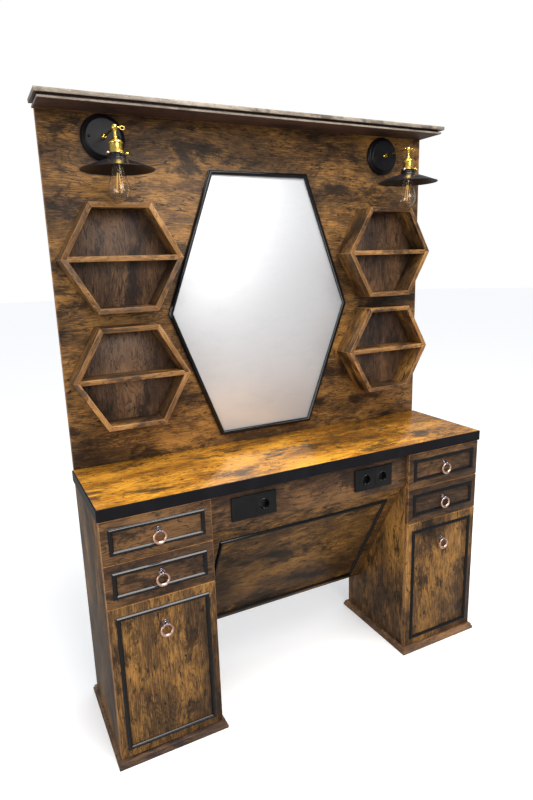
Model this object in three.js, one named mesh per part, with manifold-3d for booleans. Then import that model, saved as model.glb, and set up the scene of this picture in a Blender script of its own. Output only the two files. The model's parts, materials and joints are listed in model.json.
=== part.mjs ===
// Salon styling station: two pedestals with drawers and doors under a worktop, and a tall back panel that
// carries a cornice, a six-sided mirror, four hexagonal shelves and two wall lamps.
// Millimetres, +Z up, front toward -Y. The origin is on the floor, under the middle of the whole station.

import * as THREE from 'three';
import { mergeVertices } from 'three/addons/utils/BufferGeometryUtils.js';
import Module from 'manifold-3d';

const wasm = await Module();
wasm.setup();

// ---- driving dimensions -------------------------------------------------------------------------------

const GAP = 0.3; // between pieces that rest on each other
const BOARD = 18; // thickness of the panel, the carcass sides and the fronts

const PULL = { rosette: 11, rosetteThick: 3, stem: 3.2, reach: 14.5, ball: 6.2, hole: 4.1 };
const RING = { radius: 17.5, wire: 2.9, swell: 2.8, steps: 20, sides: 8 };

// depth: everything is placed from the front face of the back panel
const FRONT_DEPTH = 388; // from that face to the outer face of the drawer and door fronts
const OVERALL_DEPTH = BOARD + FRONT_DEPTH + PULL.reach + PULL.ball; // from the pulls to the wall
const WALL_Y = OVERALL_DEPTH / 2;
const PANEL_FACE = WALL_Y - BOARD;
const FRONT_FACE = PANEL_FACE - FRONT_DEPTH;
const FRONT_BACK = FRONT_FACE + BOARD;

const WORKTOP = { width: 1500, depth: 392, top: 880, thick: 38, band: 4 };
const WORKTOP_UNDER = WORKTOP.top - WORKTOP.thick;
const PANEL = { width: 1486, bottom: WORKTOP_UNDER, top: 2024 };
const CORNICE = { width: 1514, front: 126, upper: 13, lower: 13, setback: 8 };

const PEDESTAL = { inner: 398, outer: 745, frontGap: 1.2, backBoard: 8 };
const PLINTH = { height: 22, lip: 12, overhang: 12, projection: 15.5, lipSetback: 6 };
const APRON = { bottom: 712, setback: 15 };
const KNEE = { footY: -70, footZ: 190 }; // foot of the sloping panel, y measured from the panel face
const KNEE_FRAME = { halfWidth: 349, above: 26, below: 68, width: 15, depth: 8 };

const REVEAL = 3; // shadow gap between neighbouring fronts
const DOOR = { bottom: 26, top: 556 };
const DRAWER_HEIGHTS = [139.5, 137.5]; // lower front, upper front
const FRONT_FRAME = { side: 23, low: 26, high: 25, doorHigh: 31, width: 14, depth: 8 };
const DRAWER_BOX = { side: 12, sideGap: 13, base: 6, length: 340, height: 90, lift: 15 };
const DRAWER_NAMES = ['lower_drawer', 'upper_drawer'];
const PULL_DROP = { drawer: 60, door: 93 }; // from the top edge of a front down to its pull

const SOCKET = { width: 163, height: 80.5, plate: 9, boxWidth: 140, boxHeight: 56, boxDepth: 40, z: 779 };
const WELL = { radius: 19.5, depth: 17, spacing: 72 };
const SOCKET_UNITS = [
  { name: 'left_socket_unit', x: -244, wells: [1] },
  { name: 'right_socket_unit', x: 240, wells: [-1, 1] },
];

const MIRROR = { mid: 373, end: 195, low: 918, middle: 1387, high: 1870, frame: 16, depth: 15, glass: 5 };
const MIRROR_REBATE = 5;

const HEX = { radius: 197, board: 16, depth: 94.5, back: 6, x: 531 };
const HEX_ROWS = [
  { name: 'lower', z: 1192 },
  { name: 'upper', z: 1579 },
];

const LAMP = { x: 548, z: 1950, reach: 162, plate: 70, plateDepth: 22, arm: 4.5, knuckle: 9.5 };
const SHADE = { rim: 110, throat: 27, rimZ: -117, throatZ: -88, wall: 1.6, collar: -76 };
const HEAD_PROFILE = [
  [0, -8.6], [6, -9.5], [6, -30], [13, -33], [21.5, -40], [21.5, -46],
  [20, -47.5], [20, -70], [25.5, -71], [25.5, -75.6], [0, -75.6],
];
const BULB_PROFILE = [
  [0, -210], [4, -208], [16, -200], [26, -189], [31.5, -174], [30, -158], [24, -137], [18, -116],
  [15.5, -92], [15.5, -62], [0, -62],
];
const ROUND = 24; // sides of a turned piece

// ---- materials ----------------------------------------------------------------------------------------

const paint = (color, roughness, metalness = 0) =>
  new THREE.MeshStandardMaterial({ color, roughness, metalness });
const FINISH = {
  rustic: paint(0x83572f, 0.5),
  top: paint(0x9a632c, 0.3),
  walnut: paint(0x4c3a30, 0.5),
  carcass: paint(0x6b4a30, 0.6),
  black: paint(0x1d1c1f, 0.4),
  socket: paint(0x151517, 0.6),
  glass: paint(0xd4d8da, 0.05, 1),
  brass: paint(0xc9a13a, 0.3, 1),
  copper: paint(0xa8735c, 0.3, 1),
  chrome: paint(0xc8c8cc, 0.15, 1),
  bulb: paint(0xe9d9b8, 0.1),
};

// ---- shape helpers ------------------------------------------------------------------------------------

const station = new THREE.Group();

function addPart(name, geometry, material) {
  const mesh = new THREE.Mesh(geometry, material);
  mesh.name = name;
  station.add(mesh);
  return mesh;
}

// A box between two corners.
function box(x0, x1, y0, y1, z0, z1) {
  const geometry = new THREE.BoxGeometry(x1 - x0, y1 - y0, z1 - z0);
  geometry.translate((x0 + x1) / 2, (y0 + y1) / 2, (z0 + z1) / 2);
  return geometry;
}

function toSolid(geometry) {
  const bare = geometry.clone();
  bare.deleteAttribute('normal');
  bare.deleteAttribute('uv');
  const merged = mergeVertices(bare, 1e-4);
  return new wasm.Manifold(new wasm.Mesh({
    numProp: 3,
    vertProperties: new Float32Array(merged.attributes.position.array),
    triVerts: new Uint32Array(merged.index.array),
  }));
}

function toGeometry(solid) {
  const mesh = solid.getMesh();
  const geometry = new THREE.BufferGeometry();
  geometry.setAttribute('position', new THREE.BufferAttribute(new Float32Array(mesh.vertProperties), 3));
  geometry.setIndex(new THREE.BufferAttribute(new Uint32Array(mesh.triVerts), 1));
  geometry.computeVertexNormals();
  return geometry;
}

function join(first, ...others) {
  return toGeometry(others.reduce((solid, other) => solid.add(toSolid(other)), toSolid(first)));
}

function cut(first, ...others) {
  return toGeometry(others.reduce((solid, other) => solid.subtract(toSolid(other)), toSolid(first)));
}

// A straight extrusion of an outline drawn in X and Z, from y = back to y = front (front is the lower value).
function slab(outline, back, front, windows = []) {
  const shape = new THREE.Shape(outline.map(([x, z]) => new THREE.Vector2(x, z)));
  shape.holes = windows.map((hole) => new THREE.Path(hole.map(([x, z]) => new THREE.Vector2(x, z))));
  const geometry = new THREE.ExtrudeGeometry(shape, { depth: back - front, bevelEnabled: false });
  geometry.rotateX(Math.PI / 2);
  geometry.translate(0, back, 0);
  return geometry;
}

const rectangle = (x0, x1, z0, z1) => [[x0, z0], [x1, z0], [x1, z1], [x0, z1]];

// A flat rectangular frame standing proud of a front.
function frameSlab(x0, x1, z0, z1, width, back, front) {
  const window = rectangle(x0 + width, x1 - width, z0 + width, z1 - width);
  return slab(rectangle(x0, x1, z0, z1), back, front, [window]);
}

// A turned piece about a vertical axis; the profile runs from one end of the axis to the other.
function turned(profile, sides = ROUND) {
  const upward = profile[0][1] < profile[profile.length - 1][1] ? profile : [...profile].reverse();
  const geometry = new THREE.LatheGeometry(upward.map(([r, h]) => new THREE.Vector2(r, h)), sides);
  geometry.rotateX(Math.PI / 2);
  return geometry;
}

// A cylinder from one point to another.
function rod(from, to, radius, sides = ROUND) {
  const start = new THREE.Vector3(...from);
  const along = new THREE.Vector3(...to).sub(start);
  const geometry = new THREE.CylinderGeometry(radius, radius, along.length(), sides);
  geometry.translate(0, along.length() / 2, 0);
  const turn = new THREE.Quaternion().setFromUnitVectors(new THREE.Vector3(0, 1, 0), along.normalize());
  geometry.applyQuaternion(turn);
  geometry.translate(start.x, start.y, start.z);
  return geometry;
}

// The two x limits of something on the left (side = -1) or right (side = +1), lower value first.
const span = (side, near, far) => (side < 0 ? [-far, -near] : [near, far]);

// ---- back panel, cornice and worktop ------------------------------------------------------------------

function addBackPanel() {
  const half = PANEL.width / 2;
  addPart('back_panel', box(-half, half, PANEL_FACE, WALL_Y, PANEL.bottom, PANEL.top), FINISH.rustic);
}

function addCornice() {
  const layers = [
    ['cornice_bed', CORNICE.lower, CORNICE.setback],
    ['cornice_top', CORNICE.upper, 0],
  ];
  let z = PANEL.top;
  for (const [name, height, setback] of layers) {
    const half = CORNICE.width / 2 - setback;
    const front = PANEL_FACE - CORNICE.front + setback;
    addPart(name, box(-half, half, front, WALL_Y, z + GAP, z + height), FINISH.walnut);
    z += height;
  }
}

function addWorktop() {
  const half = WORKTOP.width / 2;
  const front = PANEL_FACE - WORKTOP.depth;
  const back = PANEL_FACE - GAP;
  const { band, top } = WORKTOP;
  const board = box(-half + band, half - band, front + band, back, WORKTOP_UNDER, top);
  const around = box(-half, half, front, back, WORKTOP_UNDER, top);
  const inset = band - GAP;
  const space = box(-half + inset, half - inset, front + inset, back + 1, WORKTOP_UNDER - 1, top + 1);
  addPart('worktop', board, FINISH.top);
  addPart('worktop_edge_band', cut(around, space), FINISH.black);
}

// ---- pedestals ----------------------------------------------------------------------------------------

function addPedestal(side, label) {
  const { inner, outer } = PEDESTAL;
  const carcassFront = FRONT_BACK + PEDESTAL.frontGap;
  const [bottom, top] = [PLINTH.height + GAP, WORKTOP_UNDER - GAP];
  const sideBoard = (near) => {
    const [x0, x1] = span(side, near, near + BOARD);
    return box(x0, x1, carcassFront, PANEL_FACE - GAP, bottom, top);
  };
  addPart(`${label}_outer_side`, sideBoard(outer - BOARD), FINISH.rustic);
  addPart(`${label}_inner_side`, sideBoard(inner), FINISH.rustic);

  const [b0, b1] = span(side, inner + BOARD + GAP, outer - BOARD - GAP);
  const backFront = PANEL_FACE - PEDESTAL.backBoard;
  addPart(`${label}_back_board`, box(b0, b1, backFront, PANEL_FACE - GAP, bottom, top), FINISH.carcass);

  // the plinth is a board wider than the carcass, with a stepped edge all round
  const reach = PLINTH.overhang + 3;
  const [p0, p1] = span(side, inner - reach, outer + PLINTH.overhang);
  const front = FRONT_FACE - PLINTH.projection;
  const step = PLINTH.lipSetback;
  const foot = box(p0, p1, front, WALL_Y, 0, PLINTH.lip);
  const upper = box(p0 + step, p1 - step, front + step, WALL_Y - step, PLINTH.lip - 1, PLINTH.height);
  addPart(`${label}_plinth`, join(foot, upper), FINISH.rustic);
}

// A front with its proud frame, the turned post of its pull and the ring that hangs in the post.
function addFront(name, side, bottom, top, frameTop, pullDrop) {
  const [x0, x1] = span(side, PEDESTAL.inner, PEDESTAL.outer);
  addPart(`${name}_front`, box(x0, x1, FRONT_FACE, FRONT_BACK, bottom, top), FINISH.rustic);
  const face = FRONT_FACE - GAP;
  const inset = FRONT_FRAME.side;
  const [frameLow, frameHigh] = [bottom + FRONT_FRAME.low, top - frameTop];
  const { width, depth } = FRONT_FRAME;
  const moulding = frameSlab(x0 + inset, x1 - inset, frameLow, frameHigh, width, face, face - depth);
  addPart(`${name}_moulding`, moulding, FINISH.black);
  addPull(name, (x0 + x1) / 2, face, top - pullDrop);
}

function addPull(name, x, face, z) {
  const axisY = FRONT_FACE - PULL.reach;
  const rosette = rod([x, face, z], [x, face - PULL.rosetteThick, z], PULL.rosette, 16);
  const stem = rod([x, face - 1, z], [x, axisY, z], PULL.stem, 8);
  const ball = new THREE.SphereGeometry(PULL.ball, 12, 8);
  ball.translate(x, axisY, z);
  const hole = rod([x - 9, axisY, z], [x + 9, axisY, z], PULL.hole, 10);
  addPart(`${name}_pull_post`, cut(join(rosette, stem, ball), hole), FINISH.chrome);

  const ring = swollenRing();
  ring.translate(x, axisY, z - RING.radius);
  addPart(`${name}_pull_ring`, ring, FINISH.copper);
}

// An upright ring in the XZ plane whose wire grows thicker toward the bottom, where fingers take hold.
function swollenRing() {
  const ring = new THREE.TorusGeometry(RING.radius, RING.wire, RING.sides, RING.steps);
  const points = ring.attributes.position;
  for (let i = 0; i < points.count; i += 1) {
    const point = new THREE.Vector3().fromBufferAttribute(points, i);
    const spine = new THREE.Vector3(point.x, point.y, 0).setLength(RING.radius);
    const low = (1 - spine.y / RING.radius) / 2; // 0 at the top of the ring, 1 at the bottom
    const grown = 1 + (RING.swell * low ** 3) / RING.wire;
    point.sub(spine).multiplyScalar(grown).add(spine);
    points.setXYZ(i, point.x, point.y, point.z);
  }
  ring.rotateX(Math.PI / 2);
  return ring;
}

function addDrawers(side, label) {
  let bottom = DOOR.top + REVEAL;
  DRAWER_HEIGHTS.forEach((height, index) => {
    const name = `${label}_${DRAWER_NAMES[index]}`;
    const top = bottom + height;
    addFront(name, side, bottom, top, FRONT_FRAME.high, PULL_DROP.drawer);

    const { side: wall, sideGap, base, length, lift } = DRAWER_BOX;
    const [x0, x1] = span(side, PEDESTAL.inner + BOARD + sideGap, PEDESTAL.outer - BOARD - sideGap);
    const [y0, y1] = [FRONT_BACK + GAP, FRONT_BACK + GAP + length];
    const [z0, z1] = [bottom + lift, bottom + lift + DRAWER_BOX.height];
    const outside = box(x0, x1, y0, y1, z0, z1);
    const inside = box(x0 + wall, x1 - wall, y0 + wall, y1 - wall, z0 + base, z1 + 1);
    addPart(`${name}_box`, cut(outside, inside), FINISH.carcass);
    bottom = top + REVEAL;
  });
}

// ---- apron, socket units and sloping knee panel -------------------------------------------------------

const APRON_FACE = FRONT_FACE + APRON.setback;
const APRON_BACK = APRON_FACE + BOARD;
const INNER_FACE = PEDESTAL.inner - GAP;

function addApron() {
  const board = box(-INNER_FACE, INNER_FACE, APRON_FACE, APRON_BACK, APRON.bottom, WORKTOP_UNDER - GAP);
  const openings = SOCKET_UNITS.map(({ x }) => {
    const [w, h] = [SOCKET.boxWidth / 2 + GAP, SOCKET.boxHeight / 2 + GAP];
    return box(x - w, x + w, APRON_FACE - 1, APRON_BACK + 1, SOCKET.z - h, SOCKET.z + h);
  });
  addPart('apron', cut(board, ...openings), FINISH.rustic);
}

function addSocketUnit({ name, x, wells }) {
  const face = APRON_FACE - GAP;
  const [w, h] = [SOCKET.width / 2, SOCKET.height / 2];
  const [bw, bh] = [SOCKET.boxWidth / 2, SOCKET.boxHeight / 2];
  const plate = box(x - w, x + w, face - SOCKET.plate, face, SOCKET.z - h, SOCKET.z + h);
  const rear = box(x - bw, x + bw, face - 1, face + SOCKET.boxDepth, SOCKET.z - bh, SOCKET.z + bh);
  const holes = wells.map((place) => {
    const cx = x + place * WELL.spacing / 2;
    const mouth = face - SOCKET.plate;
    return rod([cx, mouth - 1, SOCKET.z], [cx, mouth + WELL.depth, SOCKET.z], WELL.radius);
  });
  addPart(name, cut(join(plate, rear), ...holes), FINISH.socket);
}

// The sloping panel runs from the foot of the apron back and down between the pedestals.
function addKneePanel() {
  const top = new THREE.Vector2(APRON_BACK + GAP, APRON.bottom);
  const foot = new THREE.Vector2(PANEL_FACE + KNEE.footY, KNEE.footZ);
  const along = top.clone().sub(foot).normalize();
  const behind = new THREE.Vector2(along.y, -along.x);
  const footBack = foot.clone().addScaledVector(behind, BOARD);
  const topBack = new THREE.Vector2(top.x, top.y + BOARD / -along.x);
  const profile = [foot, footBack, topBack, top];

  const shape = new THREE.Shape(profile.map((p) => new THREE.Vector2(p.x, p.y)));
  const panel = new THREE.ExtrudeGeometry(shape, { depth: 2 * INNER_FACE, bevelEnabled: false });
  // the outline's x and y become the station's y and z, and the extrusion runs along x
  panel.applyMatrix4(new THREE.Matrix4().set(0, 0, 1, -INNER_FACE, 1, 0, 0, 0, 0, 1, 0, 0, 0, 0, 0, 1));
  addPart('knee_panel', panel, FINISH.rustic);

  // its frame is drawn upright, then laid against the slope
  const slopeLength = top.distanceTo(foot);
  const { halfWidth, above, below, width, depth } = KNEE_FRAME;
  const frame = frameSlab(-halfWidth, halfWidth, above, slopeLength - below, width, -GAP, -GAP - depth);
  const lean = new THREE.Group();
  lean.position.set(0, foot.x, foot.y);
  lean.rotation.x = Math.atan2(-along.x, along.y);
  const mesh = new THREE.Mesh(frame, FINISH.black);
  mesh.name = 'knee_panel_moulding';
  lean.add(mesh);
  station.add(lean);
}

// ---- mirror -------------------------------------------------------------------------------------------

// The tall six-sided outline, drawn in by a distance measured square to its edges.
function mirrorOutline(inset) {
  const corners = [
    [MIRROR.end, MIRROR.low], [MIRROR.mid, MIRROR.middle], [MIRROR.end, MIRROR.high],
    [-MIRROR.end, MIRROR.high], [-MIRROR.mid, MIRROR.middle], [-MIRROR.end, MIRROR.low],
  ].map(([x, z]) => new THREE.Vector2(x, z));
  return corners.map((corner, i) => {
    const before = corner.clone().sub(corners[(i + 5) % 6]).normalize();
    const after = corners[(i + 1) % 6].clone().sub(corner).normalize();
    const inward = new THREE.Vector2(-before.y - after.y, before.x + after.x).normalize();
    const stretch = inset / inward.dot(new THREE.Vector2(-before.y, before.x));
    return corner.clone().addScaledVector(inward, stretch).toArray();
  });
}

function addMirror() {
  const back = PANEL_FACE - GAP;
  const outer = slab(mirrorOutline(0), back, back - MIRROR.depth, [mirrorOutline(MIRROR.frame)]);
  const rebate = MIRROR.frame - MIRROR_REBATE;
  const seat = slab(mirrorOutline(rebate), back + 1, back - MIRROR.glass - GAP);
  addPart('mirror_frame', cut(outer, seat), FINISH.black);
  addPart('mirror_glass', slab(mirrorOutline(rebate + GAP), back, back - MIRROR.glass), FINISH.glass);
}

// ---- hexagonal shelves --------------------------------------------------------------------------------

function hexagon(x, z, radius) {
  return Array.from({ length: 6 }, (_, i) => {
    const angle = (i * Math.PI) / 3;
    return [x + radius * Math.cos(angle), z + radius * Math.sin(angle)];
  });
}

function addHexShelf(name, x, z) {
  const back = PANEL_FACE - GAP;
  const front = back - HEX.depth;
  const innerRadius = HEX.radius - HEX.board / Math.cos(Math.PI / 6);
  const wall = slab(hexagon(x, z, HEX.radius), back, front, [hexagon(x, z, innerRadius)]);
  const backing = slab(hexagon(x, z, innerRadius + 2), back, back - HEX.back);
  const reach = innerRadius + 2;
  const half = HEX.board / 2;
  const shelf = box(x - reach, x + reach, front + 1, back - 1, z - half, z + half);
  addPart(name, join(wall, backing, shelf), FINISH.rustic);
}

// ---- lamps --------------------------------------------------------------------------------------------

function addLamp(side, label) {
  const x = side * LAMP.x;
  const axisY = PANEL_FACE - LAMP.reach;
  const wall = PANEL_FACE - GAP;
  const face = wall - LAMP.plateDepth;

  const stepFace = wall - LAMP.plateDepth * 0.55;
  const rim = rod([x, wall, LAMP.z], [x, stepFace, LAMP.z], LAMP.plate);
  const plate = rod([x, stepFace + 1, LAMP.z], [x, face, LAMP.z], LAMP.plate - 10);
  const ear = LAMP.knuckle + GAP;
  const arm = rod([x, face + 1, LAMP.z], [x, axisY + ear + 1, LAMP.z], LAMP.arm, 12);
  const fork = box(x - 8, x + 8, axisY + ear, axisY + ear + 6, LAMP.z - 6, LAMP.z + 6);
  const tine = (dx) => box(x + dx - 1.5, x + dx + 1.5, axisY - 5, axisY + ear + 2, LAMP.z - 5, LAMP.z + 5);
  addPart(`${label}_lamp_bracket`, join(rim, plate, arm, fork, tine(-6.5), tine(6.5)), FINISH.black);

  const barrel = rod([x - 4.5, axisY, LAMP.z], [x + 4.5, axisY, LAMP.z], LAMP.knuckle, 16);
  const body = turned(HEAD_PROFILE);
  body.translate(x, axisY, LAMP.z);
  const throat = rod([x, axisY, LAMP.z - 60], [x, axisY, LAMP.z - 80], 15.5 + GAP + 0.2);
  addPart(`${label}_lamp_holder`, cut(join(barrel, body), throat), FINISH.brass);

  const { rim: rimR, throat: throatR, rimZ, throatZ, wall: skin, collar } = SHADE;
  const profile = [
    [rimR, rimZ], [throatR, throatZ], [throatR, collar],
    [17, collar], [17, collar - skin], [throatR - skin, collar - skin],
    [throatR - skin, throatZ - skin], [rimR, rimZ - skin], [rimR, rimZ],
  ];
  const shade = new THREE.LatheGeometry(profile.map(([r, h]) => new THREE.Vector2(r, h)), ROUND);
  shade.rotateX(Math.PI / 2);
  shade.translate(x, axisY, LAMP.z);
  addPart(`${label}_lamp_shade`, shade, FINISH.black);

  const bulb = turned(BULB_PROFILE, 20);
  bulb.translate(x, axisY, LAMP.z);
  addPart(`${label}_lamp_bulb`, bulb, FINISH.bulb);
}

// ---- assembly -----------------------------------------------------------------------------------------

addBackPanel();
addCornice();
addWorktop();
addApron();
SOCKET_UNITS.forEach(addSocketUnit);
addKneePanel();
addMirror();
for (const [side, label] of [[-1, 'left'], [1, 'right']]) {
  addPedestal(side, label);
  addDrawers(side, label);
  addFront(`${label}_door`, side, DOOR.bottom, DOOR.top, FRONT_FRAME.doorHigh, PULL_DROP.door);
  HEX_ROWS.forEach(({ name, z }) => addHexShelf(`${label}_${name}_hex_shelf`, side * HEX.x, z));
  addLamp(side, label);
}

export default station;
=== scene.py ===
import json
import math
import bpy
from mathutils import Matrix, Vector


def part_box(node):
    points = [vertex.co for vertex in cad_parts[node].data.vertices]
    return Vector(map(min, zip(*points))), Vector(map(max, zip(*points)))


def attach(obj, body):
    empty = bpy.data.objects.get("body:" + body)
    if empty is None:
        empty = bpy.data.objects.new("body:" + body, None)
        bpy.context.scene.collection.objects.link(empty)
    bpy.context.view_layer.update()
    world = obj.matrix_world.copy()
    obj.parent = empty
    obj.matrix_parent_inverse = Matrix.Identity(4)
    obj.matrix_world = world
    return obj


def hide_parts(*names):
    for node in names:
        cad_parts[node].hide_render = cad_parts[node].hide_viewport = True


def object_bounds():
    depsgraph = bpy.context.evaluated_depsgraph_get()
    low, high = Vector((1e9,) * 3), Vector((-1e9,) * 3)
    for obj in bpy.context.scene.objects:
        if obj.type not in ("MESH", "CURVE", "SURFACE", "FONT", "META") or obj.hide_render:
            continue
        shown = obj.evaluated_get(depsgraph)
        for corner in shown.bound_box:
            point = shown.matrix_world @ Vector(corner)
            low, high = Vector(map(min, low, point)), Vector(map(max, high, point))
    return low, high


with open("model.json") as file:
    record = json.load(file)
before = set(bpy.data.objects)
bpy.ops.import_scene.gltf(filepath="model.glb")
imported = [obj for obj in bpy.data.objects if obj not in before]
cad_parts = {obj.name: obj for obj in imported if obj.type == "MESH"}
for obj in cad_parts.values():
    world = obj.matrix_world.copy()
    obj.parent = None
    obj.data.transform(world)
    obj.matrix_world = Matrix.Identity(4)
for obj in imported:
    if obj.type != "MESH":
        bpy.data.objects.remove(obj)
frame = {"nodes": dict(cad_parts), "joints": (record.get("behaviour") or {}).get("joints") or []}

import zlib

import bmesh
import bpy
from mathutils import Matrix, Vector

# Salon styling station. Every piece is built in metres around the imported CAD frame: the boxes of the CAD
# nodes give its place and size, and the sections and small fittings below give its detail.

CAD_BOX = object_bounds()
MM = 0.001
SIDES = (("left", -1), ("right", 1))
ROOT = "station"

# ---- sizes the CAD boxes don't tell ----

EDGE_ROUND = 0.9 * MM  # softened edge of a laminated board
MOULDING_WIDTH = 14 * MM
MIRROR_END_HALF = 195 * MM  # half the length of the mirror's level top and bottom edges
MIRROR_MIDDLE = 1387 * MM  # height of its two side points
MIRROR_FRAME_WIDTH = 16 * MM
HEX_BOARD = 16 * MM
HEX_BACKING = 6 * MM
DRAWER_WALL = 12 * MM
DRAWER_BASE = 6 * MM
EDGE_BAND = 4 * MM
WELL_RADIUS = 19.5 * MM
WELL_DEPTH = 17 * MM
WELL_SPACING = 72 * MM
SOCKET_WELLS = {"left_socket_unit": (1,), "right_socket_unit": (-1, 1)}
SOCKET_MARGIN = 11 * MM  # from a socket plate's edge to the hole in the board behind it
NOSING_SHARE = 0.52  # of the cornice bed's height
NECK_INSET = 9 * MM
PULL_HOLE = 4.1 * MM
TURNED = 48  # segments of a turned piece
DOME_LOW, DOME_HIGH = 0.62, 1.05  # strength of the studio's light at the horizon and overhead
DOME_IN_GLOSS = 0.4  # share of it that glossy surfaces reflect
RING_WIRE = 2.85 * MM  # radius of a pull ring's wire at its top
RING_SWELL = 2.75 * MM  # what the wire gains at its foot
PLINTH_TOE = 11.5 * MM  # height of the plinth's square foot
RUNNER_RISE = 38 * MM  # a runner's middle above its drawer box's foot
RUNNER_START, RUNNER_STOP = 4 * MM, 10 * MM  # how far a runner stays from the box's front and back
RUNNER_SHEET = 1.2 * MM
HINGE_INSET = 90 * MM  # a hinge's middle from the door's top or foot
CAMERA_PLACE = (-1.0051, -1.7990, 1.5513)
CAMERA_AZIMUTH, CAMERA_PITCH, CAMERA_ROLL = 26.84, 13.19, -1.72  # degrees right, down and about the view
CAMERA_LENS, CAMERA_SENSOR = 26.28, 36.0  # mm
FLOOR_RADIUS = 30.0
SOFTBOXES = (  # name, place, aim, size, power, colour
    ("ceiling_softbox", (0.35, -1.15, 3.9), (0.2, -0.3, 1.0), (2.4, 1.4), 112, (1.0, 0.98, 0.95)),
    ("front_softbox", (0.3, -4.6, 2.9), (0, 0, 1.0), (2.6, 1.6), 78, (1.0, 0.97, 0.95)),
    ("left_softbox", (-3.4, -1.6, 1.3), (0.4, 0.0, 0.8), (1.6, 1.6), 38, (1.0, 0.98, 0.96)),
)


# ---- node materials ----

def srgb(red, green, blue):
    """A display colour, 0 to 255 a channel, as the linear RGBA that the shaders take."""
    def linear(value):
        value /= 255
        return value / 12.92 if value <= 0.04045 else ((value + 0.055) / 1.055) ** 2.4
    return (linear(red), linear(green), linear(blue), 1.0)


class Nodes:
    """A small builder for a material's or world's nodes: most methods add one and return its output."""

    def __init__(self, name, kind="materials"):
        self.owner = getattr(bpy.data, kind).new(name)
        self.owner.use_nodes = True
        self.tree = self.owner.node_tree
        self.tree.nodes.clear()

    def add(self, kind, inputs=None, **settings):
        node = self.tree.nodes.new(kind)
        for key, value in settings.items():
            setattr(node, key, value)
        for key, value in (inputs or {}).items():
            self.put(node.inputs[key], value)
        return node

    def put(self, socket, value):
        if isinstance(value, bpy.types.NodeSocket):
            self.tree.links.new(value, socket)
        else:
            socket.default_value = value

    def coords(self, attribute=None):
        if attribute:
            return self.add("ShaderNodeAttribute", attribute_name=attribute).outputs["Vector"]
        return self.add("ShaderNodeTexCoord").outputs["Object"]

    def stretch(self, vector, scale, shift=(0, 0, 0)):
        inputs = {"Vector": vector, "Scale": scale, "Location": shift}
        return self.add("ShaderNodeMapping", inputs).outputs["Vector"]

    def noise(self, vector, scale, detail=4.0, roughness=0.55, distortion=0.0):
        inputs = {"Vector": vector, "Scale": scale, "Detail": detail, "Roughness": roughness,
                  "Distortion": distortion}
        return self.add("ShaderNodeTexNoise", inputs).outputs["Fac"]

    def math(self, operation, first, second=0.0):
        return self.add("ShaderNodeMath", {0: first, 1: second}, operation=operation).outputs[0]

    def rise(self, value, low, high, to_low=0.0, to_high=1.0):
        """value mapped smoothly from low..high to to_low..to_high, and held at the ends."""
        inputs = {"Value": value, "From Min": low, "From Max": high, "To Min": to_low, "To Max": to_high}
        return self.add("ShaderNodeMapRange", inputs, interpolation_type="SMOOTHSTEP").outputs["Result"]

    def ramp(self, value, *stops):
        node = self.add("ShaderNodeValToRGB", {"Fac": value})
        elements = node.color_ramp.elements
        while len(elements) < len(stops):
            elements.new(0.5)
        for element, (position, colour) in zip(elements, stops):
            element.position = position
            element.color = colour
        return node.outputs["Color"]

    def mix(self, factor, first, second):
        node = self.add("ShaderNodeMix", data_type="RGBA")
        self.put(node.inputs["Factor"], factor)
        self.put(node.inputs[6], first)
        self.put(node.inputs[7], second)
        return node.outputs[2]

    def bump(self, height, distance):
        inputs = {"Height": height, "Distance": distance, "Strength": 1.0}
        return self.add("ShaderNodeBump", inputs).outputs["Normal"]

    def surface(self, **inputs):
        """The finished surface: a Principled shader with these inputs, underscores standing for spaces."""
        named = {key.replace("_", " "): value for key, value in inputs.items()}
        shader = self.add("ShaderNodeBsdfPrincipled", named)
        self.add("ShaderNodeOutputMaterial", {"Surface": shader.outputs["BSDF"]})
        return self.owner


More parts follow.
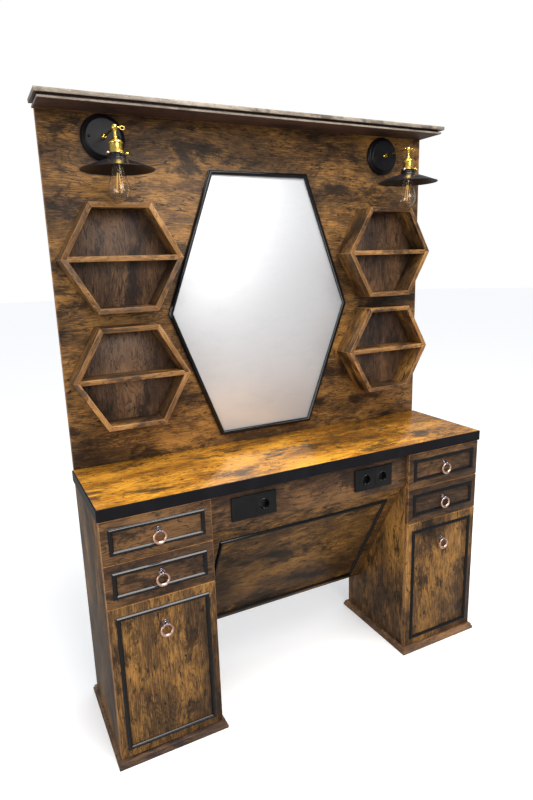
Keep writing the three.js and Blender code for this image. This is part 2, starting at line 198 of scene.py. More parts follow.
def laminate(name, tones, roughness, contrast=1.0, figure=1.0, specular=0.3):
    """Rustic wood-effect laminate. The attribute "wood" runs along the grain in x, in metres.
    tones are its dark, middle, light and smudge colours; contrast spreads them apart, and figure is how
    strongly knots, cracks and growth lines show."""
    dark, middle, light, smudge = [srgb(*tone) for tone in tones]
    n = Nodes(name)
    wood = n.coords("wood")
    wobble = n.noise(n.stretch(wood, (2.5, 6, 6)), 1.0, 2.0)
    sway = n.add("ShaderNodeCombineXYZ", {"Y": n.math("MULTIPLY", n.math("SUBTRACT", wobble, 0.5), 0.06)})
    bent = n.add("ShaderNodeVectorMath", {0: wood, 1: sway.outputs[0]}, operation="ADD").outputs[0]

    sweep = n.noise(n.stretch(bent, (1.3, 3.1, 3.1), (5, 2, 8)), 1.0, 2.0, 0.5)
    broad = n.noise(n.stretch(bent, (3.4, 8.0, 8.0)), 1.0, 3.0, 0.55)
    mottle = n.noise(n.stretch(bent, (18, 42, 42)), 1.0, 8.0, 0.78)
    fibre = n.noise(n.stretch(bent, (20, 330, 330)), 1.0, 3.0, 0.65)
    tone = n.math("ADD", n.math("MULTIPLY", broad, 0.44), n.math("MULTIPLY", mottle, 0.32))
    tone = n.math("ADD", tone, n.math("MULTIPLY", sweep, 0.24))
    tone = n.math("ADD", tone, n.math("MULTIPLY", n.math("SUBTRACT", fibre, 0.5), 0.34))
    spread = 0.15 / contrast
    colour = n.ramp(n.rise(tone, 0.5 - spread, 0.5 + spread), (0.0, dark), (0.5, middle), (1.0, light))

    lines = n.math("MULTIPLY", growth_lines(n, bent), 0.48 * figure)
    colour = n.mix(lines, colour, smudge)
    cloud = n.noise(n.stretch(bent, (5.0, 9.5, 9.5), (7, 1, 3)), 1.0, 8.0, 0.72, 0.3)
    colour = n.mix(n.math("MULTIPLY", n.rise(cloud, 0.52, 0.61), 0.8), colour, smudge)
    marks = n.math("MAXIMUM", knots(n, bent), cracks(n, bent))
    colour = n.mix(n.math("MULTIPLY", marks, 0.85 * figure), colour, smudge)

    sheen = n.math("ADD", roughness, n.math("MULTIPLY", n.math("SUBTRACT", mottle, 0.5), 0.16))
    relief = n.math("SUBTRACT", n.math("MULTIPLY", fibre, 0.6), n.math("MULTIPLY", marks, 0.6))
    return n.surface(Base_Color=colour, Roughness=sheen, Specular_IOR_Level=specular,
                     Normal=n.bump(relief, 0.00008))


def growth_lines(n, bent):
    """Thin lines that follow the contours of a long soft noise, as flat-sawn grain does, in patches."""
    contour = n.noise(n.stretch(bent, (2.6, 9.0, 9.0), (4, 9, 2)), 1.0, 2.0, 0.5)
    wave = n.math("SINE", n.math("MULTIPLY", contour, 230.0))
    patch = n.noise(n.stretch(bent, (3.0, 8.0, 8.0), (1, 6, 9)), 1.0, 2.0)
    return n.math("MULTIPLY", n.rise(wave, 0.35, 1.0), n.rise(patch, 0.42, 0.62))


def knots(n, bent):
    """Soft dark spots, longer along the grain, scattered unevenly."""
    rough = n.noise(n.stretch(bent, (30, 60, 60)), 1.0, 4.0, 0.7)
    cells = n.add("ShaderNodeTexVoronoi", {"Vector": n.stretch(bent, (5.5, 15, 15), (3, 3, 3)), "Scale": 1.0})
    reach = n.math("ADD", cells.outputs["Distance"], n.math("MULTIPLY", n.math("SUBTRACT", rough, 0.5), 0.5))
    chance = n.add("ShaderNodeSeparateColor", {"Color": cells.outputs["Color"]}).outputs[0]
    return n.math("MULTIPLY", n.rise(reach, 0.10, 0.30, 1.0, 0.0), n.rise(chance, 0.45, 0.75))


def cracks(n, bent):
    """Short thin dark marks along the grain."""
    crack = n.noise(n.stretch(bent, (24, 95, 95), (2, 5, 8)), 1.0, 4.0, 0.62, 1.2)
    return n.rise(crack, 0.585, 0.635)


def satin(name, colour, worn, roughness, specular=0.35):
    """A dark moulded or painted surface, with faint blotches, dust and an orange-peel texture."""
    n = Nodes(name)
    place = n.coords()
    blotch = n.noise(place, 14.0, 4.0, 0.6)
    speck = n.noise(place, 1500.0, 2.0, 0.6)
    tint = n.mix(n.rise(blotch, 0.42, 0.72), srgb(*colour), srgb(*worn))
    gloss = n.math("ADD", roughness, n.math("MULTIPLY", n.math("SUBTRACT", blotch, 0.5), 0.22))
    return n.surface(Base_Color=tint, Roughness=gloss, Specular_IOR_Level=specular,
                     Normal=n.bump(speck, 0.000006))


def polished(name, colour, tarnish, roughness):
    """Polished metal with slight tarnish in patches and hair scratches."""
    n = Nodes(name)
    place = n.coords()
    patch = n.noise(place, 60.0, 4.0, 0.6)
    hair = n.noise(n.stretch(place, (1, 1, 9)), 260.0, 3.0, 0.6)
    tint = n.mix(n.rise(patch, 0.46, 0.70), srgb(*colour), srgb(*tarnish))
    gloss = n.math("ADD", roughness, n.math("MULTIPLY", n.rise(hair, 0.45, 0.75), 0.12))
    return n.surface(Base_Color=tint, Metallic=1.0, Roughness=gloss, Normal=n.bump(hair, 0.00001))


def mirror_glass():
    """Silvered glass under an even film of haze, with the faintest wiping marks."""
    n = Nodes("mirror_glass")
    haze = n.noise(n.stretch(n.coords(), (3, 3, 6)), 3.0, 5.0, 0.65)
    gloss = n.rise(haze, 0.40, 0.75, 0.46, 0.52)
    tint = n.mix(n.rise(haze, 0.4, 0.8), srgb(224, 226, 229), srgb(216, 219, 222))
    return n.surface(Base_Color=tint, Metallic=0.6, Roughness=gloss)


def clear_glass():
    """The bulb's glass: clear, with a faint warm tint and slight ripples."""
    n = Nodes("bulb_glass")
    ripple = n.noise(n.coords(), 45.0, 2.0, 0.5)
    tint = n.mix(ripple, srgb(255, 253, 249), srgb(254, 247, 232))
    return n.surface(Base_Color=tint, Roughness=0.02, IOR=1.42, Transmission_Weight=1.0,
                     Normal=n.bump(ripple, 0.0004))


def filament_glow():
    """Amber filament strips that glow faintly along their length."""
    n = Nodes("filament")
    beads = n.noise(n.coords(), 420.0, 2.0, 0.5)
    tint = n.mix(beads, srgb(255, 214, 120), srgb(250, 184, 84))
    return n.surface(Base_Color=tint, Roughness=0.4, Emission_Color=tint, Emission_Strength=0.9)


PALETTE = {
    "rustic": laminate("rustic_board", ((46, 35, 27), (100, 72, 43), (172, 124, 64), (31, 25, 21)),
        0.38, specular=0.22),
    # darker copy of the rustic laminate: painted shade on the drawer fronts and on the apron under the
    # worktop
    "rustic_dark": laminate("rustic_dark", ((44, 34, 28), (80, 58, 41), (130, 94, 58), (34, 28, 26)),
        0.38, specular=0.22),
    "rustic_deep": laminate("rustic_deep", ((58, 46, 40), (98, 73, 54), (144, 108, 76), (42, 36, 35)),
        0.42),
    "edge": laminate("edge_band", ((82, 58, 36), (136, 97, 56), (186, 138, 80), (50, 39, 31)), 0.42, 0.9),
    # light laminate for softened edges: a painted highlight along every edge, partly the lighter core of the
    # cut board
    "cut_line": laminate("cut_line", ((136, 94, 56), (178, 126, 76), (212, 160, 102), (96, 68, 46)),
        0.5, 0.7, 0.5),
    "worktop": laminate("worktop_board", ((88, 58, 22), (162, 106, 34), (226, 160, 54), (56, 45, 31)),
        0.20, specular=0.5),
    "walnut": laminate("cornice_board", ((46, 36, 34), (62, 49, 45), (82, 66, 59), (36, 29, 28)),
        0.34, 0.8, 0.6),
    # light grey-beige for the cornice's edges: a painted sheen where light catches them
    "walnut_painted_sheen": laminate("cornice_edge", ((106, 96, 86), (146, 134, 120), (180, 168, 152), (78, 68, 62)),
        0.32, 0.8, 0.5),
    # lighter copy of the cornice laminate: painted light on the nosing's shaded underside
    "walnut_painted_light": laminate("cornice_under", ((66, 48, 41), (84, 60, 51), (104, 76, 64), (50, 38, 34)),
        0.5, 0.8, 0.5),
    "carcass": laminate("carcass_board", ((56, 42, 32), (82, 60, 43), (110, 81, 57), (42, 33, 28)),
        0.55, 0.8, 0.6),
    "band": satin("black_edging", (18, 17, 21), (25, 24, 29), 0.38, 0.15),
    "moulding": satin("black_moulding", (8, 8, 10), (13, 13, 15), 0.13, 0.4),
    "socket": satin("socket_plastic", (17, 18, 19), (23, 24, 25), 0.42, 0.25),
    "socket_insert": satin("socket_insert", (10, 10, 12), (16, 16, 18), 0.3),
    # light grey for the wells' lips: a painted highlight round each well's mouth on the black plastic
    "socket_rim": satin("socket_rim", (74, 76, 80), (92, 94, 98), 0.35),
    "lamp_black": satin("lamp_black", (22, 19, 24), (32, 29, 34), 0.3),
    "lamp_plate": satin("lamp_plate", (16, 15, 19), (24, 22, 27), 0.36, 0.22),
    "lamp_inside": satin("lamp_inside", (34, 28, 26), (48, 39, 34), 0.38),
    "brass": polished("brass", (246, 214, 112), (226, 182, 80), 0.22),
    "copper": polished("copper", (240, 204, 186), (212, 168, 148), 0.3),
    "chrome": polished("chrome", (158, 150, 158), (116, 106, 116), 0.09),
    "steel": polished("zinc_steel", (214, 216, 220), (184, 186, 192), 0.32),
    "mirror": mirror_glass(),
    "glass": clear_glass(),
    "filament": filament_glow(),
}
# a board's third paint goes on its softened edges, where the light laminate paints a highlight
WOOD = ("rustic", "edge", "cut_line")
PAINTED_SHADE_WOOD = ("rustic_dark", "edge", "cut_line")
SHELF = ("edge", "rustic", "cut_line")
CORNICE_PAINTED_LIGHT = ("walnut_painted_light", "walnut_painted_sheen", "walnut_painted_sheen")
PLASTIC = (("socket",), ROOT, "socket_plastic")  # the paints, body and slot of a piece
BRASS = (("brass",), ROOT, "brass")
FIXED_WOOD = (ROOT, "rustic_wood")


# ---- mesh helpers ----

def axes(u, v, w, origin=(0, 0, 0)):
    """A local frame: its three axes, and where its origin lies."""
    return Matrix.Translation(origin) @ Matrix((u, v, w)).transposed().to_4x4()


def facing(x, y, z):
    """The frame of a piece that faces the person: u along X, v up, w toward the person."""
    return axes((1, 0, 0), (0, 0, 1), (0, -1, 0), (x, y, z))


def crosswise(x, y, z):
    """The frame of a piece that looks sideways: u toward the wall, v up, w along X."""
    return axes((0, 1, 0), (0, 0, 1), (1, 0, 0), (x, y, z))


def in_mm(pairs):
    """Pairs that are given in millimetres, in metres."""
    return [(a * MM, b * MM) for a, b in pairs]


UPRIGHT = facing(0, 0, 0)
SIDEWAYS = crosswise(0, 0, 0)
LEVEL = axes((1, 0, 0), (0, 1, 0), (0, 0, 1))  # a worktop or a turned piece: w up


def link(obj):
    bpy.context.scene.collection.objects.link(obj)


def piece(name, bm, place, paints, body, slot, nodes=(), grain=None, sharp=35):
    """Finishes a mesh that was built in a local frame, ties it to its body and hides the CAD nodes that it
    stands for; slot is not used.
    """
    bmesh.ops.recalc_face_normals(bm, faces=bm.faces[:])
    mesh = bpy.data.meshes.new(name)
    bm.to_mesh(mesh)
    bm.free()
    mesh.transform(place)
    if grain:
        lay_grain(mesh, name, place, grain)
    mesh.shade_smooth()
    mesh.set_sharp_from_angle(angle=math.radians(sharp))
    for paint in paints:
        mesh.materials.append(PALETTE[paint])
    obj = bpy.data.objects.new(name, mesh)
    link(obj)
    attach(obj, body)
    if nodes:
        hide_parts(*nodes)
    return obj


def lay_grain(mesh, name, place, grain):
    """Stores where each point lies in its own stretch of laminate, with the grain along x."""
    back = place.inverted()
    order = {"u": (0, 1, 2), "v": (1, 0, 2), "w": (2, 0, 1)}[grain]
    seed = zlib.crc32(name.encode())
    shift = Vector((seed % 97, seed // 97 % 89, seed // 8633 % 83)) * 0.37
    wood = mesh.attributes.new("wood", "FLOAT_VECTOR", "POINT")
    for vertex, value in zip(mesh.vertices, wood.data):
        point = back @ vertex.co
        value.vector = Vector([point[i] for i in order]) + shift


def prism(name, outline, near, far, place, paints, body, slot, nodes=(), grain="u", bevel=EDGE_ROUND):
    """A flat board of any outline in u and v, from w = near to w = far, with softened edges."""
    bm = bmesh.new()
    low = [bm.verts.new((u, v, near)) for u, v in outline]
    high = [bm.verts.new((u, v, far)) for u, v in outline]
    bm.faces.new(list(reversed(low)))
    bm.faces.new(high)
    for i in range(len(outline)):
        j = (i + 1) % len(outline)
        wall = bm.faces.new((low[i], low[j], high[j], high[i]))
        wall.material_index = min(1, len(paints) - 1)
    last = len(paints) - 1
    bmesh.ops.bevel(bm, geom=bm.edges[:], offset=bevel, segments=2, profile=0.5, affect="EDGES",
                    material=last)
    return piece(name, bm, place, paints, body, slot, nodes, grain)


def rectangle(u0, u1, v0, v1):
    return [(u0, v0), (u1, v0), (u1, v1), (u0, v1)]


def local_box(lo, hi, place):
    """A box given in the row frame, as the lowest and highest u, v and w of a local frame."""
    back = place.inverted()
    corners = (back @ Vector(lo), back @ Vector(hi))
    return [sorted(pair) for pair in zip(*corners)]


def board(name, lo, hi, place, paints=WOOD, body=ROOT, slot="rustic_wood", nodes=(), grain="u",
          bevel=EDGE_ROUND):
    """A rectangular board that fills a box of the row frame; its faces look along the frame's w."""
    (u0, u1), (v0, v1), (w0, w1) = local_box(lo, hi, place)
    return prism(name, rectangle(u0, u1, v0, v1), w0, w1, place, paints, body, slot, nodes, grain, bevel)


def node_board(node, place, paints=WOOD, body=ROOT, slot="rustic_wood", grain="u", bevel=EDGE_ROUND):
    """The detailed board that stands for one CAD board."""
    lo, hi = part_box(node)
    return board(node + "_board", lo, hi, place, paints, body, slot, (node,), grain, bevel)


def drawn_in(corners, distance, closed=True):
    """An outline drawn in by a distance, square to its edges, with mitred corners."""
    count = len(corners)
    moved = []
    for i, corner in enumerate(corners):
        here = Vector(corner)
        before = (here - Vector(corners[i - 1])).normalized()
        after = (Vector(corners[(i + 1) % count]) - here).normalized()
        if not closed and i == 0:
            before = after
        if not closed and i == count - 1:
            after = before
        left = Vector((-before.y, before.x))
        inward = (left + Vector((-after.y, after.x))).normalized()
        moved.append(here + inward * (distance / inward.dot(left)))
    return moved


def strip(name, corners, section, place, base, paints, body, slot, nodes=(), closed=True):
    """A strip of one section run along an outline, mitred at its corners.
    The section goes from its outer foot to its inner foot, as (distance in, height above base) pairs."""
    bm = bmesh.new()
    runs = []
    for inset, height in section:
        line = drawn_in(corners, inset, closed)
        runs.append([bm.verts.new((p.x, p.y, base + height)) for p in line])
    legs = len(corners) if closed else len(corners) - 1
    for r, run in enumerate(runs):
        other = runs[(r + 1) % len(runs)]
        for i in range(legs):
            j = (i + 1) % len(corners)
            bm.faces.new((run[i], run[j], other[j], other[i]))
    if not closed:
        bm.faces.new([run[0] for run in runs])
        bm.faces.new([run[-1] for run in reversed(runs)])
    return piece(name, bm, place, paints, body, slot, nodes)


def arc(centre, radius, start, end, steps):
    """Points on an arc, in degrees, as (x, y) pairs."""
    turn = [math.radians(start + (end - start) * i / steps) for i in range(steps + 1)]
    return [(centre[0] + radius * math.cos(a), centre[1] + radius * math.sin(a)) for a in turn]


def turned(name, profile, place, paints, body, slot, nodes=(), segments=TURNED, inner_from=None):
    """A piece turned about the frame's w axis from (radius, height) pairs; inner faces may take paint 1."""
    bm = bmesh.new()
    rings = []
    for radius, height in profile:
        if radius <= 0:
            rings.append([bm.verts.new((0, 0, height))])
            continue
        points = arc((0, 0), radius, 0, 360 - 360 / segments, segments - 1)
        rings.append([bm.verts.new((x, y, height)) for x, y in points])
    closed_loop = profile[0][0] > 0 and profile[-1][0] > 0
    count = len(rings) if closed_loop else len(rings) - 1
    for r in range(count):
        one, two = rings[r], rings[(r + 1) % len(rings)]
        if len(one) == 1 and len(two) == 1:
            continue
        for i in range(segments):
            j = (i + 1) % segments
            corners = [one[i % len(one)], one[j % len(one)], two[j % len(two)], two[i % len(two)]]
            face = bm.faces.new(list(dict.fromkeys(corners)))
            face.material_index = int(inner_from is not None and r >= inner_from)
    return piece(name, bm, place, paints, body, slot, nodes)


def tube(name, path, radius, place, paints, body, slot, nodes=(), closed=False, sides=16):
    """A round wire along a path of points; radius is a number, or a function of how far along (0 to 1)."""
    bm = bmesh.new()
    points = [Vector(p) for p in path]
    count = len(points)
    thick = radius if callable(radius) else (lambda along: radius)
    side = Vector((0.31, 0.93, 0.2)).normalized()
    loops = []
    for i, point in enumerate(points):
        after = points[(i + 1) % count] if closed or i < count - 1 else point
        before = points[i - 1] if closed or i > 0 else point
        ahead = (after - before).normalized()
        side = (side - ahead * side.dot(ahead)).normalized()
        across = ahead.cross(side)
        r = thick(i / (count if closed else count - 1))
        turn = [2 * math.pi * k / sides for k in range(sides)]
        loops.append([bm.verts.new(point + side * math.cos(a) * r + across * math.sin(a) * r) for a in turn])
    for i in range(count if closed else count - 1):
        one, two = loops[i], loops[(i + 1) % count]
        lag = closest_lag(one, two) if closed and i == count - 1 else 0
        for k in range(sides):
            m = (k + 1) % sides
            bm.faces.new((one[k], one[m], two[(m + lag) % sides], two[(k + lag) % sides]))
    if not closed:
        bm.faces.new(list(reversed(loops[0])))
        bm.faces.new(loops[-1])
    return piece(name, bm, place, paints, body, slot, nodes, sharp=50)


def closest_lag(one, two):
    """How far round the second loop its point nearest to the first loop's first point is."""
    return min(range(len(two)), key=lambda k: (two[k].co - one[0].co).length)


def carve(obj, cutters):
    """Cuts the cutters' shapes out of a piece, then throws the cutters away."""
    for cutter in cutters:
        cut = obj.modifiers.new("cut", "BOOLEAN")
        cut.operation = "DIFFERENCE"
        cut.solver = "EXACT"
        cut.object = cutter
    bpy.context.view_layer.update()
    graph = bpy.context.evaluated_depsgraph_get()
    mesh = bpy.data.meshes.new_from_object(obj.evaluated_get(graph))
    obj.modifiers.clear()
    obj.data = mesh
    if "wood" in mesh.attributes:
        mesh.attributes.remove(mesh.attributes["wood"])
    for cutter in cutters:
        bpy.data.objects.remove(cutter)
    mesh.set_sharp_from_angle(angle=math.radians(35))


# ---- back panel, cornice and worktop ----

def add_back():
    node_board("back_panel", UPRIGHT)
    # the cornice's edges take the light grey-beige painted sheen
    edged = ("walnut", "walnut_painted_sheen", "walnut_painted_sheen")
    node_board("cornice_top", LEVEL, edged, slot="cornice_wood", bevel=1.6 * MM)
    # the bed is a nosing with a narrower neck above it, which leaves a groove under the top board; the neck's
    # edges take the dark face laminate, painted shade in that groove
    lo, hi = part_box("cornice_bed")
    split = lo.z + (hi.z - lo.z) * NOSING_SHARE
    # the nosing's faces take the lighter cornice laminate, painted light on its underside
    board("cornice_nosing", lo, (hi.x, hi.y, split), LEVEL, CORNICE_PAINTED_LIGHT,
          slot="cornice_wood", nodes=("cornice_bed",), bevel=1.4 * MM)
    near = (lo.x + NECK_INSET, lo.y + NECK_INSET, split)
    far = (hi.x - NECK_INSET, hi.y, hi.z)
    board("cornice_neck", near, far, LEVEL, ("walnut",), slot="cornice_wood", nodes=("cornice_bed",),
          bevel=0.4 * MM)


def add_worktop():
    node_board("worktop", LEVEL, ("worktop", "carcass", "worktop"), slot="worktop_wood", bevel=0.4 * MM)
    lo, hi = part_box("worktop_edge_band")
    path = [(hi.x, hi.y), (hi.x, lo.y), (lo.x, lo.y), (lo.x, hi.y)]
    path.reverse()
    tall = hi.z - lo.z
    round_over = 1.2 * MM
    section = [(0, round_over), (0, tall - round_over)]
    section += [(x, y) for x, y in arc((round_over, tall - round_over), round_over, 180, 90, 4)]
    section += [(EDGE_BAND - 0.5 * MM, tall), (EDGE_BAND - 0.5 * MM, 0), (round_over, 0)]
    strip("worktop_edge_band_strip", path, section, LEVEL, lo.z, ("band",), ROOT, "black_edging",
          ("worktop_edge_band",), closed=False)


# ---- mouldings, pulls and fronts ----

def bead_section(width, depth, shoulder=0.2):
    """A bead with steep flanks and a round top on two low shoulders, as wide and as deep as given."""
    flank = [(0, 0), (0.04, 0.05), (0.10, 0.25), (0.20, 0.57), (0.28, 0.79), (0.38, 0.94), (0.5, 1)]
    left = [(0, 0)] + [(width * a, depth * (shoulder + (1 - shoulder) * b)) for a, b in flank]
    return left + [(width - d, h) for d, h in reversed(left[:-1])]


def add_moulding(node, body):
    """A mitred black bead frame that stands on a front."""
    lo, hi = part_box(node)
    corners = rectangle(lo.x, hi.x, lo.z, hi.z)
    section = bead_section(MOULDING_WIDTH, hi.y - lo.y)
    strip(node + "_strip", corners, section, UPRIGHT, -hi.y, ("moulding",), body, "black_moulding", (node,))


def ring_thickness(along):
    """Radius of a ring's wire, from its top (0), past its thick foot (0.5), and back (1)."""
    return RING_WIRE + RING_SWELL * ((1 - math.cos(2 * math.pi * along)) / 2) ** 2


def add_pull(name, body):
    """A turned rosette with a short post and a pierced ball, and the ring that hangs in the ball."""
    lo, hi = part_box(f"{name}_pull_post")
    ring_lo, ring_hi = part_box(f"{name}_pull_ring")
    x = (lo.x + hi.x) / 2
    z = (lo.z + hi.z) / 2
    axis_y = (ring_lo.y + ring_hi.y) / 2
    radius = (hi.x - lo.x) / 2
    face = hi.y
    reach = face - axis_y
    out = facing(x, face, z)
    ball = axis_y - lo.y
    dish = [(11.0, 0), (11.0, 1.0), (10.7, 1.8), (10.0, 2.2), (9.2, 2.0), (8.0, 1.3), (6.0, 1.0), (4.6, 1.3),
            (3.6, 2.4), (2.9, 4.2), (2.7, 6.0)]
    profile = [(0, 0)] + [(r * MM * radius / (11 * MM), h * MM) for r, h in dish]
    profile += [(2.9 * MM, reach - ball * 0.8), (0, reach - ball * 0.7)]
    turned(f"{name}_rosette", profile, out, ("chrome",), body, "chrome", (f"{name}_pull_post",))
    across = crosswise(x, axis_y, z)
    half = math.sqrt(ball ** 2 - PULL_HOLE ** 2)
    opening = math.degrees(math.atan2(half, PULL_HOLE))
    bead = [(r, h) for r, h in arc((0, 0), ball, -opening, opening, 14)]
    turned(f"{name}_ball", bead, across, ("chrome",), body, "chrome", segments=32)

    centre_z = (ring_lo.z + ring_hi.z) / 2
    size = z - centre_z
    path = [(x + size * math.sin(a), axis_y, z - size + size * math.cos(a))
            for a in [2 * math.pi * i / 64 for i in range(64)]]
    tube(f"{name}_ring_wire", path, ring_thickness, LEVEL, ("copper",), f"{name}_ring", "copper",
         (f"{name}_pull_ring",), closed=True)


def add_front(name, grain):
    lo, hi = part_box(f"{name}_front")
    # drawer fronts take the darker copy of the laminate, painted shade
    paints = PAINTED_SHADE_WOOD if "drawer" in name else WOOD
    board(f"{name}_front_board", lo, hi, UPRIGHT, paints, name, nodes=(f"{name}_front",), grain=grain)
    add_moulding(f"{name}_moulding", name)
    add_pull(name, name)


# ---- pedestals ----

def add_plinth(label):
    """A base board with a moulded edge: a square toe, a cove and a rounded upper step."""
    node = f"{label}_plinth"
    lo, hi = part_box(node)
    toe = PLINTH_TOE
    steps = [(0.8 * MM, lo.z), (0, lo.z + 0.8 * MM), (0, toe - 1.5 * MM), (0.8 * MM, toe)]
    steps += [(3.2 * MM, toe + 0.3 * MM), (4.0 * MM, toe + 2.2 * MM)]
    steps += [(6 * MM - 2 * MM * math.cos(a), hi.z - 3 * MM + 3 * MM * math.sin(a))
              for a in [math.pi / 2 * i / 5 for i in range(6)]]
    bm = bmesh.new()
    loops = []
    for inset, z in steps:
        outline = rectangle(lo.x + inset, hi.x - inset, lo.y + inset, hi.y - inset)
        loops.append([bm.verts.new((x, y, z)) for x, y in outline])
    for one, two in zip(loops, loops[1:]):
        for i in range(4):
            j = (i + 1) % 4
            bm.faces.new((one[i], one[j], two[j], two[i]))
    bm.faces.new(list(reversed(loops[0])))
    bm.faces.new(loops[-1])
    piece(node + "_base", bm, LEVEL, ("rustic_deep",), *FIXED_WOOD, (node,), grain="u")


def add_pedestal(label):
    for part in ("outer_side", "inner_side"):
        node_board(f"{label}_{part}", SIDEWAYS, grain="v")
    node_board(f"{label}_back_board", UPRIGHT, ("carcass",) * 3, slot="carcass_board", grain="v")
    add_plinth(label)


def add_drawer(name):
    """The box behind a drawer front, and the two halves of each runner."""
    node = f"{name}_box"
    lo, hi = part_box(node)
    wall, base = DRAWER_WALL, DRAWER_BASE
    paints = ("carcass", "carcass", "cut_line")
    sides = [("near_wall", lo.x, lo.x + wall), ("far_wall", hi.x - wall, hi.x)]
    for part, x0, x1 in sides:
        board(f"{name}_{part}", (x0, lo.y, lo.z), (x1, hi.y, hi.z), SIDEWAYS, paints, name, "carcass_board",
              (node,))
    ends = [("fore_wall", lo.y, lo.y + wall), ("back_wall", hi.y - wall, hi.y)]
    for part, y0, y1 in ends:
        board(f"{name}_{part}", (lo.x + wall, y0, lo.z), (hi.x - wall, y1, hi.z), UPRIGHT, paints, name,
              "carcass_board", (node,))
    board(f"{name}_bottom", (lo.x + wall, lo.y + wall, lo.z), (hi.x - wall, hi.y - wall, lo.z + base), LEVEL,
          paints, name, "carcass_board", (node,))
    add_runners(name, lo, hi)


def channel(width, height, skin):
    """A C-shaped section, open toward +u."""
    u1, v1 = width, height / 2
    return [(0, -v1), (u1, -v1), (u1, -v1 + skin), (skin, -v1 + skin), (skin, v1 - skin), (u1, v1 - skin),
            (u1, v1), (0, v1)]


def add_runners(name, lo, hi):
    """A steel channel on the carcass and a narrower one on the drawer, on both sides of its box."""
    z = lo.z + RUNNER_RISE
    for part, x, outward in (("low", lo.x, -1), ("high", hi.x, 1)):
        along = (hi.y - RUNNER_STOP) - (lo.y + RUNNER_START)
        inner = axes((outward, 0, 0), (0, 0, outward), (0, 1, 0), (x, lo.y + RUNNER_START, z))
        prism(f"{name}_slide_{part}", channel(7 * MM, 30 * MM, RUNNER_SHEET), 0, along, inner, ("steel",),
              name, "chrome", bevel=0.3 * MM)
        outer = axes((-outward, 0, 0), (0, 0, -outward), (0, 1, 0),
                     (x + outward * 12.8 * MM, lo.y + RUNNER_START, z))
        prism(f"{name}_track_{part}", channel(10 * MM, 40 * MM, RUNNER_SHEET), 0, along, outer, ("steel",),
              ROOT, "chrome", bevel=0.3 * MM)


def add_door_hinges(label, side):
    """A hinge cup on the door, and the hinge's arm on the carcass."""
    lo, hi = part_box(f"{label}_door_front")
    wall_lo, wall_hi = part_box(f"{label}_outer_side")
    inner_face = wall_lo.x if side > 0 else wall_hi.x
    back = hi.y
    for part, z in (("lower", lo.z + HINGE_INSET), ("upper", hi.z - HINGE_INSET)):
        cup_x = inner_face - side * 12 * MM
        cup = axes((1, 0, 0), (0, 0, -1), (0, 1, 0), (cup_x - side * 8 * MM, back, z))
        profile = in_mm([(0, 0), (17, 0), (17, 0.9), (15, 1.3), (14, 0.6), (0, 0.6)])
        turned(f"{label}_{part}_hinge_cup", profile, cup, ("steel",), f"{label}_door", "chrome")
        mount = (inner_face - side * 5 * MM, back + 8 * MM, z - 12 * MM)
        end = (inner_face, back + 62 * MM, z + 12 * MM)
        lo_corner = tuple(min(a, b) for a, b in zip(mount, end))
        hi_corner = tuple(max(a, b) for a, b in zip(mount, end))
        board(f"{label}_{part}_hinge_arm", lo_corner, hi_corner, SIDEWAYS, ("steel",), ROOT, "chrome",
              bevel=1.5 * MM)


# ---- apron, sockets and knee panel ----

def add_apron():
    """The rail under the worktop, with a hole for the box behind each socket plate."""
    # the apron takes the darker laminate copy, painted shade under the worktop, and the dark cornice laminate
    # on its softened edges, a painted shadow line around its front
    apron = node_board("apron", UPRIGHT, ("rustic_dark", "edge", "walnut"), bevel=1.8 * MM)
    lo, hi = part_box("apron")
    holes = []
    for node in SOCKET_WELLS:
        unit_lo, unit_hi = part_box(node)
        u0, u1 = unit_lo.x + SOCKET_MARGIN, unit_hi.x - SOCKET_MARGIN
        v0, v1 = unit_lo.z + SOCKET_MARGIN, unit_hi.z - SOCKET_MARGIN
        holes.append(prism("cutter", rectangle(u0, u1, v0, v1), -hi.y - MM, -lo.y + MM, UPRIGHT, WOOD, ROOT,
                           "rustic_wood", bevel=0.1 * MM))
    carve(apron, holes)
    lay_grain(apron.data, apron.name, UPRIGHT, "u")


def add_socket_unit(node):
    """A cover plate with a raised centre, and a round well with pin holes and earth clips for each socket."""
    lo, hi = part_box(node)
    x = (lo.x + hi.x) / 2
    z = (lo.z + hi.z) / 2
    face = -lo.y
    plate_depth = 9 * MM
    half_w, half_h = (hi.x - lo.x) / 2, (hi.z - lo.z) / 2
    place = facing(x, 0, z)
    plate = prism(node + "_plate", rectangle(-half_w, half_w, -half_h, half_h), face - plate_depth,
                  face - 0.8 * MM, place, *PLASTIC, (node,), bevel=1.4 * MM)
    panels = []
    for where in (-1, 1):
        centre = where * WELL_SPACING / 2
        half = 30 * MM
        panels.append(prism(f"{node}_panel_{'low' if where < 0 else 'high'}",
                            rectangle(centre - half, centre + half, -half, half), face - 2 * MM, face, place,
                            *PLASTIC, bevel=0.9 * MM))
    back = prism(node + "_box", rectangle(-half_w + 14 * MM, half_w - 14 * MM, -27 * MM, 27 * MM), -hi.y,
                 face - plate_depth, place, ("socket_insert",), ROOT, "socket_plastic", bevel=2 * MM)
    for where in SOCKET_WELLS[node]:
        mouth = facing(x + where * WELL_SPACING / 2, 0, z)
        wide, deep, high = WELL_RADIUS + 0.4 * MM, face - WELL_DEPTH, face + 5 * MM
        hole = [(0, deep), (wide, deep), (wide, high), (0, high)]
        for target in (plate, panels[(where + 1) // 2], back):
            carve(target, [turned("cutter", hole, mouth, *PLASTIC)])
        add_well(f"{node}_{'low' if where < 0 else 'high'}", x + where * WELL_SPACING / 2, z, face)


